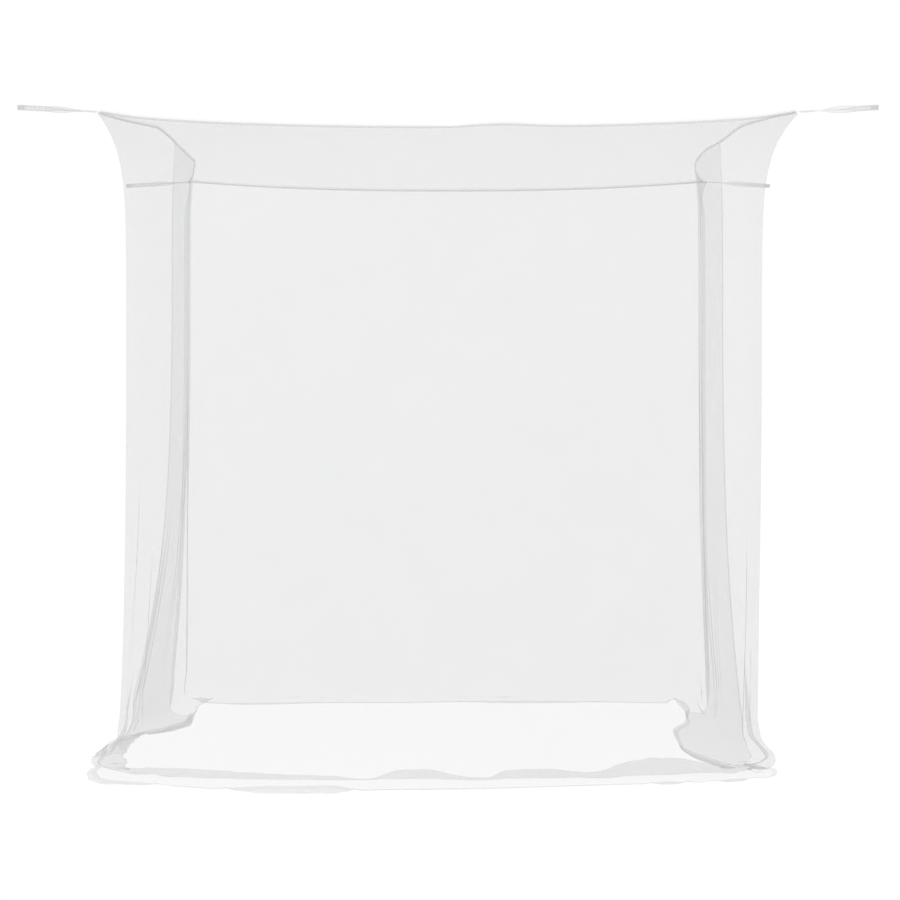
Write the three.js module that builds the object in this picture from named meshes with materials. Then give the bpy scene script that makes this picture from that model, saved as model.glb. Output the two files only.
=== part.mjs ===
// Hanging box mosquito net, white netting, hung by a tape loop at each roof corner.
// Millimetres, +Z up. The origin is on the floor under the middle of the roof, the front faces -Y.
// Going round the net, a place on the roof edge is a turn from 0 to 4: the front runs left to right
// from 0 to 1, the right side from 1 to 2, the back right to left from 2 to 3, the left side from 3 to 4.

import * as THREE from 'three';

// Driving sizes
const ROOF = { halfWidth: 1012, halfDepth: 920, cornerHeight: 1996, middleSag: 40, sideHold: 5 };
const CLOTH = 1.5;
const FRONT_EDGE = { bow: 220, bowPower: 2.3, sag: 15, sagPower: 12, lift: 8, liftAt: 0.58, liftWidth: 0.06 };
const BACK_EDGE = { bow: 243, bowPower: 2.2, sag: 62, sagPower: 2.3 };
const SIDE_EDGE = { sag: 40, sagPower: 4 };
const BINDING = { thickness: 3, above: 12, below: 2, cornerGap: 12 };
const SEAM_GAP = 1.2;
const ROOF_INSET = BINDING.thickness / 2 + 0.7;
const RELAX = 85; // the height over which a wall leaves the pulled-out roof edge
const LEAN = { from: 1600, curve: 3 }; // below this height the walls lean out to their feet
const FOOT_TOP = 180; // below this height the cloth turns onto the floor
const DOOR = { seamGap: 3.2, hungGap: 8 }; // between the two lengths where they overlap
const DOOR_EASE = { front: 0.05, back: 0.15 }; // the turns over which each length comes off the other
const FLOOR_LIFT = CLOTH / 2;
const INWARD_HEAP = 0.8; // the share of a heap's spread that is left where the cloth lies inwards
const LOOP = { width: 14, thickness: 1.2, rootGap: 2.6, root: 1.5, steps: 18 };
const EYE = { gap: 17.2, from: 0.23, share: 0.42, shoulder: 9, neck: 4, neckSide: 7.4, tipSide: 4 };
const TWIST = { from: 0.12, share: 0.42 }; // where along a loop its tape turns from flat to on edge

const NETTING = { color: 0xf1f2f2, roughness: 0.85, metalness: 0 };
const TAPE = { color: 0xe9eaea, roughness: 0.8, metalness: 0 };

// How far the side edges of the roof bow in, by how far back they are (-1 front corner, 1 back corner)
const LEFT_BOW = [
  { back: -1, inward: 0 }, { back: -0.905, inward: 60 }, { back: -0.79, inward: 150 },
  { back: -0.6, inward: 161 }, { back: -0.1, inward: 158 }, { back: 0.15, inward: 126 },
  { back: 0.45, inward: 80 }, { back: 0.8, inward: 20 }, { back: 1, inward: 0 },
];
const RIGHT_BOW = [
  { back: -1, inward: 0 }, { back: -0.94, inward: 66 }, { back: -0.8, inward: 145 },
  { back: -0.58, inward: 164 }, { back: -0.35, inward: 185 }, { back: -0.1, inward: 178 },
  { back: 0.15, inward: 150 }, { back: 0.5, inward: 92 }, { back: 0.8, inward: 32 }, { back: 1, inward: 0 },
];

// Where the walls hang in plan once they have left the roof edge
const HUNG = [
  { turn: 0, x: -961, y: -740 }, { turn: 0.03, x: -925, y: -744 }, { turn: 0.12, x: -790, y: -704 },
  { turn: 0.5, x: 0, y: -655 }, { turn: 0.88, x: 780, y: -702 }, { turn: 0.97, x: 905, y: -744 },
  { turn: 1, x: 938, y: -736 }, { turn: 1.07, x: 905, y: -655 }, { turn: 1.21, x: 856, y: -500 },
  { turn: 1.5, x: 868, y: -20 }, { turn: 1.75, x: 918, y: 420 }, { turn: 1.93, x: 950, y: 620 },
  { turn: 2, x: 938, y: 705 }, { turn: 2.05, x: 870, y: 735 }, { turn: 2.5, x: 0, y: 700 },
  { turn: 2.95, x: -900, y: 735 }, { turn: 3, x: -988, y: 695 }, { turn: 3.1, x: -973, y: 580 },
  { turn: 3.27, x: -945, y: 380 }, { turn: 3.5, x: -898, y: 0 }, { turn: 3.79, x: -870, y: -500 },
  { turn: 3.93, x: -925, y: -655 },
];

// Where they meet the floor, how far the spare cloth reaches out (or in, if less than 0), and how much
// of it lies heaped up in a fold
const FOOT = [
  { turn: 0, x: -1003, y: -590, reach: 90, heap: 0.85 },
  { turn: 0.03, x: -955, y: -608, reach: 90, heap: 0.45 },
  { turn: 0.12, x: -800, y: -620, reach: 112, heap: 0.12 },
  { turn: 0.25, x: -500, y: -632, reach: 160, heap: 0.05 },
  { turn: 0.44, x: -110, y: -634, reach: 134, heap: 0.06 },
  { turn: 0.54, x: 80, y: -634, reach: 126, heap: 0.02 },
  { turn: 0.61, x: 225, y: -632, reach: 112, heap: 0.06 },
  { turn: 0.74, x: 470, y: -626, reach: 86, heap: 0.12 },
  { turn: 0.86, x: 740, y: -612, reach: 70, heap: 0.35 },
  { turn: 0.96, x: 900, y: -590, reach: 60, heap: 0.5 },
  { turn: 1, x: 942, y: -572, reach: 60, heap: 0.6 },
  { turn: 1.09, x: 932, y: -535, reach: 70, heap: 0.75 },
  { turn: 1.21, x: 921, y: -490, reach: -45, heap: 0.5 },
  { turn: 1.32, x: 925, y: -206, reach: -160, heap: 0.1 },
  { turn: 1.45, x: 925, y: 34, reach: -155, heap: 0.05 },
  { turn: 1.6, x: 925, y: 205, reach: -105, heap: 0.2 },
  { turn: 1.8, x: 934, y: 470, reach: -62, heap: 0.15 },
  { turn: 1.95, x: 940, y: 650, reach: -75, heap: 0.3 },
  { turn: 2, x: 915, y: 720, reach: -80, heap: 0.3 },
  { turn: 2.08, x: 830, y: 758, reach: -150, heap: 0.1 },
  { turn: 2.35, x: 300, y: 757, reach: -138, heap: 0 },
  { turn: 2.6, x: -200, y: 760, reach: -142, heap: 0 },
  { turn: 2.9, x: -800, y: 752, reach: -180, heap: 0.05 },
  { turn: 3, x: -992, y: 700, reach: -110, heap: 0.2 },
  { turn: 3.12, x: -995, y: 560, reach: -75, heap: 0.25 },
  { turn: 3.24, x: -1000, y: 360, reach: -60, heap: 0.3 },
  { turn: 3.33, x: -1004, y: 215, reach: -95, heap: 0.35 },
  { turn: 3.43, x: -1062, y: 120, reach: -95, heap: 0.45 },
  { turn: 3.52, x: -1088, y: 8, reach: 15, heap: 0.6 },
  { turn: 3.65, x: -1075, y: -130, reach: 95, heap: 0.6 },
  { turn: 3.79, x: -1035, y: -320, reach: 95, heap: 0.7 },
  { turn: 3.93, x: -1012, y: -510, reach: 85, heap: 0.95 },
];

// The folds that run up a wall: where each begins and ends, its half width in turns, how far it stands
// out, and the height at which it starts
const FOLDS = [
  { turn: 0.97, footTurn: 0.975, width: 0.025, out: -10, from: 900 },
  { turn: 1.035, footTurn: 1.03, width: 0.03, out: 17, from: 1000 },
  { turn: 1.1, footTurn: 1.09, width: 0.03, out: -16, from: 800 },
  { turn: 1.16, footTurn: 1.15, width: 0.03, out: 14, from: 600 },
  { turn: 1.35, footTurn: 1.33, width: 0.07, out: -12, from: 600 },
  { turn: 1.6, footTurn: 1.62, width: 0.08, out: 12, from: 700 },
  { turn: 2.02, footTurn: 2.02, width: 0.025, out: 16, from: 760 },
  { turn: 2.97, footTurn: 2.97, width: 0.025, out: 12, from: 600 },
  { turn: 3.09, footTurn: 3.11, width: 0.05, out: -14, from: 900 },
  { turn: 3.4, footTurn: 3.42, width: 0.07, out: 12, from: 520 },
  { turn: 3.6, footTurn: 3.62, width: 0.07, out: -12, from: 560 },
  { turn: 3.84, footTurn: 3.85, width: 0.03, out: 15, from: 700 },
  { turn: 3.9, footTurn: 3.91, width: 0.03, out: -16, from: 820 },
  { turn: 3.96, footTurn: 3.97, width: 0.03, out: 17, from: 1060 },
];

// The cloth from the turn at its foot to its free edge: height, share of the reach, and what a whole
// heap adds outwards and upwards
const FLOOR_ROWS = [
  { height: 118, along: 0, heapOut: 12, heapUp: 4 },
  { height: 58, along: 0.02, heapOut: 56, heapUp: 26 },
  { height: 20, along: 0.08, heapOut: 82, heapUp: 38 },
  { height: 5, along: 0.22, heapOut: 38, heapUp: 36 },
  { height: 1.5, along: 0.42, heapOut: -14, heapUp: 30 },
  { height: 3, along: 0.62, heapOut: -26, heapUp: 18 },
  { height: 1, along: 0.82, heapOut: -4, heapUp: 7 },
  { height: 0, along: 1, heapOut: 8, heapUp: 0 },
];
const DROPS = [0, 16, 38, 70, 112, 175, 270, 420]; // below the roof edge
const HEIGHTS = [1300, 1000, 720, 470, 300, FOOT_TOP];

// How the seams, and the cloth below them, are divided: along the front and back, and along a side from
// its front corner
const LONG_SEAM = [{ to: 0.06, steps: 3 }, { to: 0.94, steps: 11 }, { to: 1, steps: 3 }];
const SIDE_SEAM = [
  { to: 0.21, steps: 11 }, { to: 0.76, steps: 10 }, { to: 0.94, steps: 4 }, { to: 1, steps: 3 },
];

// Where each length's free hems are along a side, from its front corner
const FRONT_HEM = 0.76;
const BACK_HEM = 0.21;

const clamp = (value, low, high) => Math.min(high, Math.max(low, value));
const mix = (a, b, share) => a + (b - a) * share;
const smooth = (value) => {
  const t = clamp(value, 0, 1);
  return t * t * (3 - 2 * t);
};

// A smooth line through a table's rows that never overshoots them
function through(rows, place, column, at, period = 0) {
  const count = rows.length;
  const row = (i) => {
    const rounds = period ? Math.floor(i / count) : 0;
    const found = rows[period ? i - rounds * count : clamp(i, 0, count - 1)];
    return { at: found[place] + rounds * period, value: found[column] };
  };
  const reached = rows.findLastIndex((r) => r[place] <= at);
  const i = period ? reached : clamp(reached, 0, count - 2);
  const [before, low, high, after] = [row(i - 1), row(i), row(i + 1), row(i + 2)];
  const slope = (a, b) => (b.at > a.at ? (b.value - a.value) / (b.at - a.at) : 0);
  const gentle = (a, b) => (a * b > 0 ? (2 * a * b) / (a + b) : 0);
  const middle = slope(low, high);
  const [enter, leave] = [gentle(slope(before, low), middle), gentle(middle, slope(high, after))];
  const span = high.at - low.at;
  const t = clamp((at - low.at) / span, 0, 1);
  return (1 + 2 * t) * (1 - t) ** 2 * low.value + t * (1 - t) ** 2 * span * enter
    + t * t * (3 - 2 * t) * high.value + t * t * (t - 1) * span * leave;
}

const lap = (turn) => ((turn % 4) + 4) % 4;

// The roof edge at a turn
function roofEdge(anyTurn) {
  const turn = lap(anyTurn);
  const side = Math.min(3, Math.floor(turn));
  const across = 2 * (turn - side) - 1;
  const inside = Math.abs(across);
  const { halfWidth, halfDepth, cornerHeight } = ROOF;
  if (side === 0) {
    const { bow, bowPower, sag, sagPower, lift, liftAt, liftWidth } = FRONT_EDGE;
    const raised = lift * Math.exp(-(((turn - liftAt) / liftWidth) ** 2));
    return new THREE.Vector3(across * halfWidth, -halfDepth + bow * (1 - inside ** bowPower),
      cornerHeight - sag * (1 - inside ** sagPower) + raised);
  }
  if (side === 2) {
    const { bow, bowPower, sag, sagPower } = BACK_EDGE;
    return new THREE.Vector3(-across * halfWidth, halfDepth - bow * (1 - inside ** bowPower),
      cornerHeight - sag * (1 - inside ** sagPower));
  }
  const right = side === 1;
  const back = right ? across : -across;
  const inward = through(right ? RIGHT_BOW : LEFT_BOW, 'back', 'inward', back);
  const height = cornerHeight - SIDE_EDGE.sag * (1 - inside ** SIDE_EDGE.sagPower);
  return new THREE.Vector3((right ? 1 : -1) * (halfWidth - inward), back * halfDepth, height);
}

function spaced(start, table) {
  const places = [start];
  for (const { to, steps } of table) {
    const from = places[places.length - 1];
    for (let step = 1; step <= steps; step += 1) places.push(mix(from, to, step / steps));
  }
  return places;
}

// The turns at which a side's seam has its corners, all of its pieces alike
function seamTurns(side) {
  const shares = spaced(0, side % 2 ? SIDE_SEAM : LONG_SEAM);
  return side < 2 ? shares.map((share) => side + share) : shares.map((share) => side + 1 - share).reverse();
}

const SEAM_TURNS = [0, 1, 2, 3].map(seamTurns);
const SEAM_POINTS = SEAM_TURNS.map((turns, side) =>
  turns.map((turn) => roofEdge(turn === side + 1 ? (side + 1) % 4 : turn)));

// The seam at a turn, straight between its corners
function seam(anyTurn) {
  const turn = lap(anyTurn);
  const side = Math.min(3, Math.floor(turn));
  const turns = SEAM_TURNS[side];
  const i = clamp(turns.findLastIndex((place) => place <= turn), 0, turns.length - 2);
  const share = (turn - turns[i]) / (turns[i + 1] - turns[i]);
  return SEAM_POINTS[side][i].clone().lerp(SEAM_POINTS[side][i + 1], share);
}

const plan = (rows, turn) => new THREE.Vector2(
  through(rows, 'turn', 'x', lap(turn), 4), through(rows, 'turn', 'y', lap(turn), 4));

// The direction straight out of the net at a turn, in plan
function outward(rows, turn) {
  const aside = 0.012; // far enough to each side to pass over a table's row smoothly
  const along = plan(rows, turn + aside).sub(plan(rows, turn - aside)).normalize();
  return new THREE.Vector2(along.y, -along.x);
}

function foldDepth(turn, height) {
  let depth = 0;
  for (const fold of FOLDS) {
    const grown = smooth((fold.from - height) / fold.from);
    const place = mix(fold.turn, fold.footTurn, grown);
    const away = Math.abs(lap(turn - place + 2) - 2);
    depth += fold.out * grown * Math.exp(-((away / fold.width) ** 2));
  }
  return depth;
}

// The hanging part of a wall at a turn and a height
function hangingPoint(turn, height, drop = seam(turn).z - height) {
  const edge = seam(turn);
  const [hung, foot] = [plan(HUNG, turn), plan(FOOT, turn)];
  const pulled = Math.exp(-drop / RELAX);
  const leaning = clamp((LEAN.from - height) / (LEAN.from - FOOT_TOP), 0, 1) ** LEAN.curve;
  const fold = foldDepth(turn, height);
  const out = outward(HUNG, turn).lerp(outward(FOOT, turn), leaning);
  return new THREE.Vector3(
    hung.x + (edge.x - hung.x) * pulled + (foot.x - hung.x) * leaning + out.x * fold,
    hung.y + (edge.y - hung.y) * pulled + (foot.y - hung.y) * leaning + out.y * fold,
    height);
}

// The cloth at the floor at a turn
function floorPoint(turn, row, lift) {
  const start = hangingPoint(turn, FOOT_TOP);
  const out = outward(FOOT, turn);
  const [reach, heap] = ['reach', 'heap'].map((name) => through(FOOT, 'turn', name, lap(turn), 4));
  const distance = row.along * reach + row.heapOut * heap * (reach < 0 ? INWARD_HEAP : 1);
  return new THREE.Vector3(start.x + out.x * distance, start.y + out.y * distance,
    row.height + row.heapUp * heap + lift);
}

// Every point of one length of wall, column by column, before it is parted from the other length
function wallGrid(turns, overlapAt) {
  return turns.map((turn) => {
    const top = seam(turn).z - BINDING.below - SEAM_GAP;
    const lift = FLOOR_LIFT + (overlapAt(turn) * DOOR.hungGap) / 2;
    return [
      ...DROPS.map((drop) => hangingPoint(turn, top - drop, drop)),
      ...HEIGHTS.map((height) => hangingPoint(turn, height)),
      ...FLOOR_ROWS.map((row) => floorPoint(turn, row, lift)),
    ];
  });
}

// The outward direction of a grid of points at each point
function gridNormals(grid) {
  const [last, bottom] = [grid.length - 1, grid[0].length - 1];
  return grid.map((column, i) => column.map((_, j) => {
    const along = grid[Math.min(last, i + 1)][j].clone().sub(grid[Math.max(0, i - 1)][j]);
    const down = column[Math.min(bottom, j + 1)].clone().sub(column[Math.max(0, j - 1)]);
    return down.cross(along).normalize();
  }));
}

const shifted = (grid, normals, amount) => grid.map((column, i) =>
  column.map((point, j) => point.clone().addScaledVector(normals[i][j], amount(i, j))));

// One closed sheet of cloth round a grid of points on its middle surface
function sheetGeometry(grid, thickness) {
  const normals = gridNormals(grid);
  const sides = [thickness / 2, -thickness / 2].map((amount) => shifted(grid, normals, () => amount));
  const [columns, rows] = [grid.length, grid[0].length];
  const points = sides.flat(2).flatMap((point) => point.toArray());
  const at = (side, i, j) => (side * columns + i) * rows + j;
  const faces = [];
  const quad = (a, b, c, d) => faces.push(a, b, c, a, c, d);
  for (let i = 0; i < columns - 1; i += 1) {
    for (let j = 0; j < rows - 1; j += 1) {
      quad(at(0, i, j), at(0, i, j + 1), at(0, i + 1, j + 1), at(0, i + 1, j));
      quad(at(1, i, j), at(1, i + 1, j), at(1, i + 1, j + 1), at(1, i, j + 1));
    }
    quad(at(0, i, 0), at(0, i + 1, 0), at(1, i + 1, 0), at(1, i, 0));
    quad(at(0, i, rows - 1), at(1, i, rows - 1), at(1, i + 1, rows - 1), at(0, i + 1, rows - 1));
  }
  for (let j = 0; j < rows - 1; j += 1) {
    quad(at(0, 0, j), at(1, 0, j), at(1, 0, j + 1), at(0, 0, j + 1));
    quad(at(0, columns - 1, j), at(0, columns - 1, j + 1), at(1, columns - 1, j + 1), at(1, columns - 1, j));
  }
  return meshGeometry(points, faces);
}

function meshGeometry(points, faces) {
  const geometry = new THREE.BufferGeometry();
  geometry.setAttribute('position', new THREE.Float32BufferAttribute(points, 3));
  geometry.setIndex(faces);
  geometry.computeVertexNormals();
  return geometry;
}

function piece(name, geometry, look) {
  const mesh = new THREE.Mesh(geometry, new THREE.MeshStandardMaterial(look));
  mesh.name = name;
  return mesh;
}

// One length of wall round the corners at two turns. Where the two lengths overlap, the front one lies
// outside and the back one inside.
function wall(name, corners, beyond, outside, ease) {
  const once = SEAM_TURNS.flatMap((turns) => turns.slice(0, -1));
  const all = [...once, ...once.map((turn) => turn + 4)];
  const nearest = (place) => all.findIndex((turn, i) => (turn + all[i + 1]) / 2 > place);
  const [first, last] = [nearest(corners[0] - beyond), nearest(corners[1] + beyond)];
  const turns = all.slice(first - 1, last + 2); // one more at each end, for its direction
  const overlapAt = (turn) => smooth(Math.max(corners[0] - turn, turn - corners[1]) / ease);
  const grid = wallGrid(turns, overlapAt);
  const normals = gridNormals(grid);
  const parted = shifted(grid, normals, (i, j) => {
    const near = j < DROPS.length ? Math.exp(-DROPS[j] / RELAX) : 0;
    const apart = outside ? mix(DOOR.hungGap / 2, 0, near) : -mix(DOOR.hungGap / 2, DOOR.seamGap, near);
    return overlapAt(turns[i]) * apart;
  });
  return piece(name, sheetGeometry(parted.slice(1, -1), CLOTH), NETTING);
}

const frontWall = () => wall('front_wall', [4, 5], FRONT_HEM, true, DOOR_EASE.front);
const backWall = () => wall('back_wall', [2, 3], 1 - BACK_HEM, false, DOOR_EASE.back);

// A seam's line set in towards the middle of the roof, with its ends left for the corners
function insetSeam(side) {
  const points = SEAM_POINTS[side];
  return points.map((point, i) => {
    const [before, after] = [points[Math.max(0, i - 1)], points[Math.min(points.length - 1, i + 1)]];
    const along = after.clone().sub(before).setZ(0).normalize();
    return point.clone().add(new THREE.Vector3(-along.y, along.x, 0).multiplyScalar(ROOF_INSET));
  });
}

// The roof's corner between the seam that ends at a turn and the one that begins there
function insetCorner(side) {
  const before = SEAM_POINTS[(side + 3) % 4];
  const corner = SEAM_POINTS[side][0];
  const ways = [before[before.length - 2], SEAM_POINTS[side][1]]
    .map((point) => point.clone().sub(corner).setZ(0).normalize());
  const half = ways[0].angleTo(ways[1]) / 2;
  const inward = ways[0].add(ways[1]).normalize();
  return corner.clone().addScaledVector(inward, ROOF_INSET / Math.sin(half));
}

function roofPanel() {
  const [front, right, back, left] = [0, 1, 2, 3].map(insetSeam);
  back.reverse();
  left.reverse();
  const [columns, rows] = [front.length - 1, left.length - 1];
  const corners = [insetCorner(0), insetCorner(1), insetCorner(3), insetCorner(2)];
  front[0] = left[0] = corners[0];
  front[columns] = right[0] = corners[1];
  back[0] = left[rows] = corners[2];
  back[columns] = right[rows] = corners[3];
  const [across, along] = [spaced(0, LONG_SEAM), spaced(0, SIDE_SEAM)];
  const grid = across.map((s, i) => along.map((t, j) => {
    const lines = front[i].clone().lerp(back[i], t).add(left[j].clone().lerp(right[j], s));
    const frontLine = corners[0].clone().lerp(corners[1], s);
    const backLine = corners[2].clone().lerp(corners[3], s);
    const point = lines.sub(frontLine.lerp(backLine, t));
    const sides = (left[j].z - ROOF.cornerHeight) * (1 - s) ** ROOF.sideHold
      + (right[j].z - ROOF.cornerHeight) * s ** ROOF.sideHold;
    const middle = 4 * s * (1 - s) * 6.75 * t * (1 - t) ** 2; // at most 1, a third of the way back
    point.z = mix(front[i].z, back[i].z, t) + sides - ROOF.middleSag * middle;
    return point;
  }));
  return piece('roof_panel', sheetGeometry(grid.reverse(), CLOTH), NETTING);
}

// A narrow binding that stands on one roof seam
function binding(name, side) {
  const points = SEAM_POINTS[side].map((point) => point.clone());
  const last = points.length - 1;
  for (const [end, next] of [[0, 1], [last, last - 1]]) {
    points[end].lerp(points[next], BINDING.cornerGap / points[end].distanceTo(points[next]));
  }
  const grid = points.map((point) =>
    [BINDING.above, -BINDING.below].map((rise) => point.clone().setZ(point.z + rise)));
  return piece(name, sheetGeometry(grid, BINDING.thickness), TAPE);
}

// The closed line that the middle of a loop's tape follows: how far out, how far to each side
function loopLine(length) {
  const strand = spaced(0, [{ to: length - EYE.shoulder, steps: LOOP.steps }]).map((out) => {
    const opening = smooth((out / length - EYE.from) / EYE.share);
    return { out, side: mix(LOOP.rootGap, EYE.gap, opening) / 2 };
  });
  const end = [
    { out: length - EYE.neck, side: EYE.neckSide },
    { out: length - LOOP.thickness / 2, side: EYE.tipSide },
  ];
  const oneSide = [...strand, ...end];
  const otherSide = oneSide.map(({ out, side }) => ({ out, side: -side })).reverse();
  return [...oneSide, ...otherSide];
}

// A doubled tape with an open eye at its end. It leaves the roof flat and turns on edge.
function hangingLoop(name, cornerTurn, tip) {
  const corner = roofEdge(cornerTurn);
  const out = tip.clone().sub(corner).normalize();
  const root = corner.addScaledVector(out, LOOP.root);
  const length = tip.distanceTo(root);
  const level = new THREE.Vector3(0, 0, 1).cross(out).normalize();
  const upright = out.clone().cross(level);
  const line = loopLine(length);
  const count = line.length;
  const points = [];
  line.forEach((place, i) => {
    const [before, after] = [line[(i + count - 1) % count], line[(i + 1) % count]];
    const enter = new THREE.Vector2(place.out - before.out, place.side - before.side).normalize();
    const leave = new THREE.Vector2(after.out - place.out, after.side - place.side).normalize();
    const along = enter.clone().add(leave).normalize();
    const mitre = LOOP.thickness / 2 / along.dot(leave);
    const twist = (Math.PI / 2) * (1 - smooth((place.out / length - TWIST.from) / TWIST.share));
    const width = upright.clone().multiplyScalar(Math.cos(twist)).addScaledVector(level, Math.sin(twist));
    const face = out.clone().cross(width);
    for (const [thick, wide] of [[1, 1], [1, -1], [-1, -1], [-1, 1]]) {
      const outPlace = place.out - along.y * mitre * thick;
      const sidePlace = place.side + along.x * mitre * thick;
      const point = root.clone().addScaledVector(out, outPlace).addScaledVector(face, sidePlace)
        .addScaledVector(width, (wide * LOOP.width) / 2);
      points.push(...point);
    }
  });
  const faces = [];
  for (let i = 0; i < count; i += 1) {
    const next = (i + 1) % count;
    const goingOut = line[next].out > line[i].out;
    for (let side = 0; side < 4; side += 1) {
      const [a, b] = [i * 4 + side, i * 4 + ((side + 1) % 4)];
      const [c, d] = [next * 4 + ((side + 1) % 4), next * 4 + side];
      // the two wide faces of each strand are split along the same line, so the tape keeps its thickness
      const split = side === (goingOut ? 0 : 2) || side % 2 === 1;
      faces.push(...(split ? [a, c, d, a, b, c] : [a, b, d, b, c, d]));
    }
  }
  return piece(name, meshGeometry(points, faces), TAPE);
}

const LOOP_ENDS = [
  { name: 'loop_front_left', turn: 0, x: -1214, y: -1030, z: 1992 },
  { name: 'loop_front_right', turn: 1, x: 1214, y: -1030, z: 1992 },
  { name: 'loop_back_right', turn: 2, x: 1284, y: 1030, z: 1992 },
  { name: 'loop_back_left', turn: 3, x: -1284, y: 1030, z: 1992 },
];

const net = new THREE.Group();
net.add(roofPanel(), frontWall(), backWall());
['front', 'right', 'back', 'left'].forEach((side, i) => net.add(binding(`binding_${side}`, i)));
for (const { name, turn, x, y, z } of LOOP_ENDS) {
  net.add(hangingLoop(name, turn, new THREE.Vector3(x, y, z)));
}

export default net;
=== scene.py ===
# White box mosquito net, hung by a tape loop at each roof corner, with its spare cloth on the floor.
# Metres. A place round the net is a turn from 0 to 4: the front runs left to right from 0 to 1, the
# right side from 1 to 2, the back right to left from 2 to 3, and the left side from 3 to 4.
import math

import bpy
import numpy as np
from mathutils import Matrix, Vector


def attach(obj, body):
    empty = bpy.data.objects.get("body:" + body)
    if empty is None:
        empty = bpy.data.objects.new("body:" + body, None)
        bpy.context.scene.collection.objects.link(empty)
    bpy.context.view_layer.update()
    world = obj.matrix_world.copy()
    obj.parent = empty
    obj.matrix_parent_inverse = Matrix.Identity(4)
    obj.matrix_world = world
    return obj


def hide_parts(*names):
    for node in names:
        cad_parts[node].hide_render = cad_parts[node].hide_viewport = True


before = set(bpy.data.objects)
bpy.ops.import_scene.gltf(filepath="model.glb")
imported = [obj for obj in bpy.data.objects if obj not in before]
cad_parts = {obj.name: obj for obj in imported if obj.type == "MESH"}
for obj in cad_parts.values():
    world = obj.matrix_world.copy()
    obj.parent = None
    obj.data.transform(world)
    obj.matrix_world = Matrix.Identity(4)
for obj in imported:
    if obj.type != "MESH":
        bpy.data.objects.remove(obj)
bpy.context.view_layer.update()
scene = bpy.context.scene
print("frame loaded:", len(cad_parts), "nodes")


# Small helpers

def smooth(value):
    t = np.clip(value, 0, 1)
    return t * t * (3 - 2 * t)


def mix(a, b, share):
    return a + (b - a) * share


def column(rows, name):
    return np.array([row[name] for row in rows], float)


# A smooth line through a table's rows that never overshoots them. With a period the table is a ring.
def through(rows, place, name, at, period=0):
    x, y = column(rows, place), column(rows, name)
    if period:
        x = np.concatenate([x[-2:] - period, x, x[:2] + period])
        y = np.concatenate([y[-2:], y, y[:2]])
    slope = np.diff(y) / np.diff(x)
    both = slope[:-1] * slope[1:]
    rising = both > 0
    total = np.where(rising, slope[:-1] + slope[1:], 1)
    tangent = np.concatenate([[0], np.where(rising, 2 * both / total, 0), [0]])
    i = np.clip(np.searchsorted(x, at, side="right") - 1, 0, len(x) - 2)
    span = x[i + 1] - x[i]
    t = np.clip((at - x[i]) / span, 0, 1)
    return ((1 + 2 * t) * (1 - t) ** 2 * y[i] + t * (1 - t) ** 2 * span * tangent[i]
            + t * t * (3 - 2 * t) * y[i + 1] + t * t * (t - 1) * span * tangent[i + 1])


def unit(vectors):
    return vectors / np.linalg.norm(vectors, axis=-1, keepdims=True)


# A new mesh object from points and faces, with a UV map in metres and named values at its points
def newPiece(name, points, faces, uv=None, values=None):
    mesh = bpy.data.meshes.new(name)
    mesh.from_pydata(points.tolist(), [], faces.tolist())
    if uv is not None:
        layer = mesh.uv_layers.new(name="cloth")
        corners = np.zeros(len(mesh.loops), np.int32)
        mesh.loops.foreach_get("vertex_index", corners)
        layer.data.foreach_set("uv", uv[corners].astype(np.float32).ravel())
    for key, value in (values or {}).items():
        attribute = mesh.attributes.new(key, "FLOAT_VECTOR", "POINT")
        attribute.data.foreach_set("vector", value.astype(np.float32).ravel())
    mesh.update()
    piece = bpy.data.objects.new(name, mesh)
    scene.collection.objects.link(piece)
    return piece


def selectOnly(piece):
    bpy.ops.object.select_all(action="DESELECT")
    piece.select_set(True)
    bpy.context.view_layer.objects.active = piece


def shadeSmooth(piece, angle):
    selectOnly(piece)
    bpy.ops.object.shade_smooth_by_angle(angle=math.radians(angle))


# Camera, at the photo's height and straight in front of the net

view = dict(distance=5.98, height=1.237, lens=70.2, shiftAcross=0.0022, shiftUp=-0.0833)

cameraData = bpy.data.cameras.new("camera")
cameraData.lens = view["lens"]
cameraData.sensor_width = 36
cameraData.shift_x = view["shiftAcross"]
cameraData.shift_y = view["shiftUp"]
cameraData.clip_end = 200
camera = bpy.data.objects.new("camera", cameraData)
camera.location = (0, -view["distance"], view["height"])
camera.rotation_euler = (math.radians(90), 0, 0)
scene.collection.objects.link(camera)
scene.camera = camera
scene.view_settings.view_transform = "Standard"
scene.cycles.transparent_max_bounces = 48  # sight passes many layers of netting where it lies heaped
print("camera set")


# Materials

def linear(hexColour):
    parts = [int(hexColour[i:i + 2], 16) / 255 for i in (1, 3, 5)]
    return [c / 12.92 if c <= 0.04045 else ((c + 0.055) / 1.055) ** 2.4 for c in parts] + [1.0]


# Adds a node, sets its properties and inputs, and links the inputs that are given as sockets
def addNode(tree, kind, inputs=None, **settings):
    node = tree.nodes.new(kind)
    for key, value in settings.items():
        setattr(node, key, value)
    for key, value in (inputs or {}).items():
        socket = next(i for n, i in enumerate(node.inputs) if i.enabled and key in (n, i.name))
        if isinstance(value, bpy.types.NodeSocket):
            tree.links.new(value, socket)
        else:
            socket.default_value = value
    return node


def newMaterial(name):
    material = bpy.data.materials.new(name)
    material.use_nodes = True
    tree = material.node_tree
    tree.nodes.clear()
    return material, tree, addNode(tree, "ShaderNodeOutputMaterial")


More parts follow.
